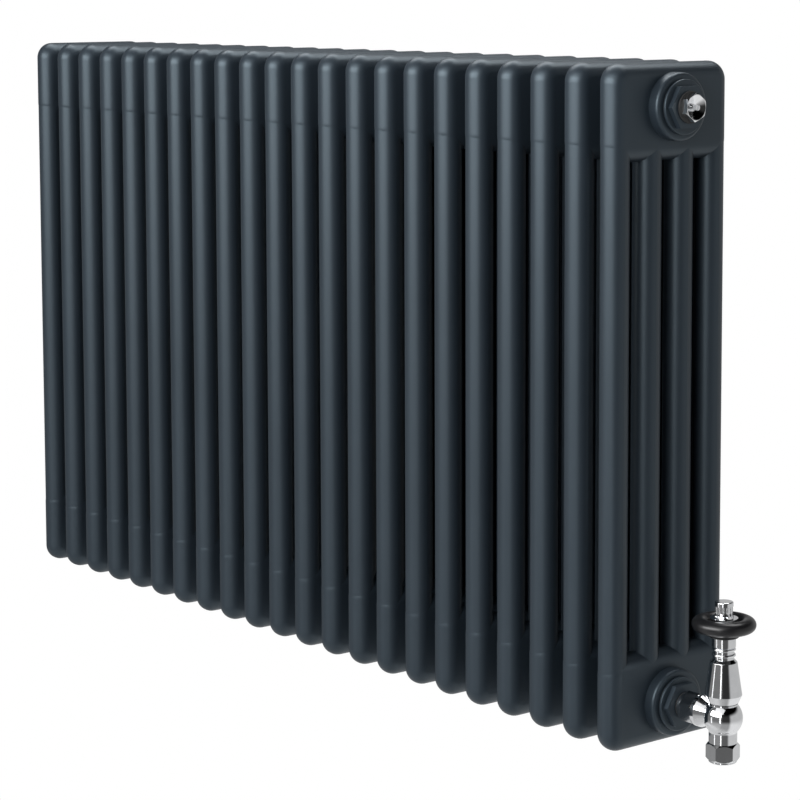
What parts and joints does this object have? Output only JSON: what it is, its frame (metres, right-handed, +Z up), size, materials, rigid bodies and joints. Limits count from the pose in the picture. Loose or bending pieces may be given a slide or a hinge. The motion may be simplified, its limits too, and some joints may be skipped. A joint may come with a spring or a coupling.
{
  "type": "column radiator with valve",
  "caption": "Wall-hung tubular column radiator in dark paint, with a bleed vent and an angled hand-wheel valve in bright chrome at one end.",
  "frame": {"origin": "on the top waterway axis at mid length, in the neck that a wall bracket hooks under", "axes": "+X along the radiator towards the valve, -Y the room side, +Y the wall side, +Z up"},
  "size_m": [1.0941, 0.1386, 0.6012],
  "materials": {
    "anthracite_paint": "satin",
    "chrome": "polished",
    "black_plastic": "satin",
    "black_rubber": "matte",
    "brass": "machined",
    "bright_steel": "ground"
  },
  "bodies": {
    "radiator": {"section_01": "anthracite_paint", "section_02": "anthracite_paint", "section_03": "anthracite_paint", "section_04": "anthracite_paint", "section_05": "anthracite_paint", "section_06": "anthracite_paint", "section_07": "anthracite_paint", "section_08": "anthracite_paint", "section_09": "anthracite_paint", "section_10": "anthracite_paint", "section_11": "anthracite_paint", "section_12": "anthracite_paint", "section_13": "anthracite_paint", "section_14": "anthracite_paint", "section_15": "anthracite_paint", "section_16": "anthracite_paint", "section_17": "anthracite_paint", "section_18": "anthracite_paint", "section_19": "anthracite_paint", "section_20": "anthracite_paint", "section_21": "anthracite_paint", "section_22": "anthracite_paint", "top_nipples": "anthracite_paint", "bottom_nipples": "anthracite_paint", "top_right_boss": "anthracite_paint", "bottom_right_boss": "anthracite_paint", "top_left_boss": "anthracite_paint", "bottom_left_boss": "anthracite_paint", "top_right_bushing": "anthracite_paint", "bottom_right_bushing": "anthracite_paint", "top_left_bushing": "anthracite_paint", "bottom_left_bushing": "anthracite_paint", "bushing_gaskets": "black_rubber", "vent_o_ring": "black_rubber", "blanking_o_ring": "black_rubber", "tail_o_ring": "black_rubber", "insert_o_ring": "black_rubber", "pin_o_ring": "black_rubber", "union_seal": "black_rubber", "vent_plug": "chrome", "blanking_plug": "chrome", "union_nut": "chrome", "valve_body": "chrome", "compression_nut": "chrome", "bonnet_bell": "chrome", "neck_sleeve": "chrome", "tail_pipe": "chrome", "pipe_olive": "brass", "valve_insert": "brass", "return_spring": "bright_steel"},
    "wheel": {"hand_wheel": "black_plastic", "wheel_knob": "chrome", "drive_spindle": "bright_steel"},
    "lift": {"lift_nut": "brass", "sensor_capsule": "brass", "push_pin": "bright_steel", "valve_disc": "black_rubber"},
    "bleed_tip": {"bleed_seal": "black_rubber"},
    "bleed_screw": {"bleed_screw": "chrome"}
  },
  "joints": [
    {"name": "wheel_turn", "type": "hinge", "parent": "radiator", "child": "wheel", "pos_m": [0.5516, 0, -0.442], "axis": [0, 0, -1], "range_deg": [0, 540]},
    {"name": "valve_lift", "type": "slide", "parent": "radiator", "child": "lift", "axis": [0, 0, -1], "range_m": [0, 0.003], "deforming": ["return_spring"]},
    {"name": "bleed_lift", "type": "slide", "parent": "radiator", "child": "bleed_tip", "axis": [1, 0, 0], "range_m": [0, 0.0008]},
    {"name": "bleed_turn", "type": "hinge", "parent": "bleed_tip", "child": "bleed_screw", "pos_m": [0.51335, 0, 0], "axis": [1, 0, 0], "range_deg": [0, 360]}
  ],
  "couplings": [
    {"joint": "wheel_turn", "follows": "valve_lift", "rad_per_m": 3141.6},
    {"joint": "bleed_turn", "follows": "bleed_lift", "rad_per_m": 7854}
  ]
}
